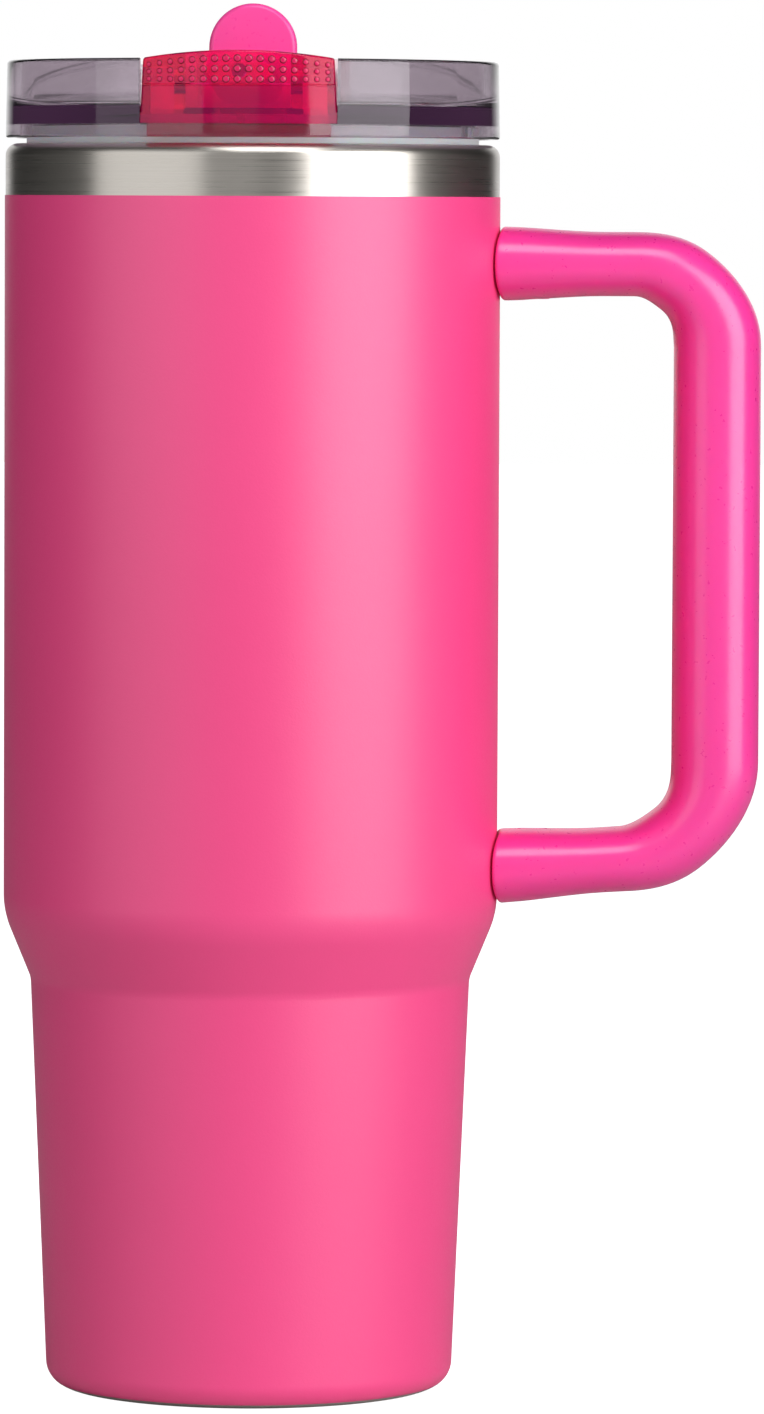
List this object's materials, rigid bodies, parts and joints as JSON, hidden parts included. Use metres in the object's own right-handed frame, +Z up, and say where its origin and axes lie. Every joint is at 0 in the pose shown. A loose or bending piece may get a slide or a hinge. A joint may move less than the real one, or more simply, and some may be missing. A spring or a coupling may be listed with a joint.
{
  "type": "insulated tumbler with lid",
  "caption": "Double-walled insulated tumbler with a side handle, a clear screw lid and a fold-down straw spout in a translucent guard.",
  "frame": {"origin": "centre of the foot ring, on the surface that the tumbler stands on", "axes": "+Z up along the cup's axis, +X towards the handle, -Y towards the front, where the spout guard meets the lid rim"},
  "size_m": [0.1497, 0.098, 0.2743],
  "materials": {
    "pink_coat": "satin powder coat with a fine grain",
    "steel": "brushed round the cup",
    "liner_steel": "electropolished",
    "screw_steel": "plain",
    "getter_metal": "sintered",
    "seal_glass": "fused",
    "handle_plastic": "satin",
    "smoke_plastic": "clear, smoke tinted",
    "red_plastic": "clear, red-pink tinted",
    "pink_plastic": "semi-gloss",
    "pink_silicone": "matte silicone",
    "clear_silicone": "translucent silicone",
    "straw_plastic": "clear"
  },
  "bodies": {
    "cup": {"outer_shell": "steel", "powder_coat": "pink_coat", "inner_liner": "liner_steel", "base_plate": "steel", "vacuum_seal": "seal_glass", "seal_cap": "steel", "getter": "getter_metal", "getter_clip": "steel", "upper_handle_lug": "steel", "lower_handle_lug": "steel", "handle": "handle_plastic", "handle_screws": "screw_steel", "screw_plugs": "handle_plastic"},
    "lid_seal": {"lid_gasket": "clear_silicone"},
    "lid": {"lid_shell": "smoke_plastic", "spout_guard": "red_plastic", "spout_seal": "clear_silicone", "straw_sleeve": "clear_silicone", "straw": "straw_plastic", "vent_valve": "clear_silicone"},
    "spout": {"flip_lever": "pink_plastic", "mouthpiece": "pink_silicone"}
  },
  "joints": [
    {"name": "lid_lift", "type": "slide", "parent": "cup", "child": "lid_seal", "axis": [0, 0, 1], "range_m": [0, 0.0075]},
    {"name": "lid_turn", "type": "hinge", "parent": "lid_seal", "child": "lid", "pos_m": [0, 0, 0.2478], "axis": [0, 0, 1], "range_deg": [0, 540]},
    {"name": "spout_flip", "type": "hinge", "parent": "lid", "child": "spout", "pos_m": [0, 0, 0.2583], "axis": [0.9989, -0.0471, 0], "range_deg": [-90, 0]}
  ],
  "couplings": [
    {"joint": "lid_lift", "follows": "lid_turn", "m_per_rad": 0.00079577}
  ]
}
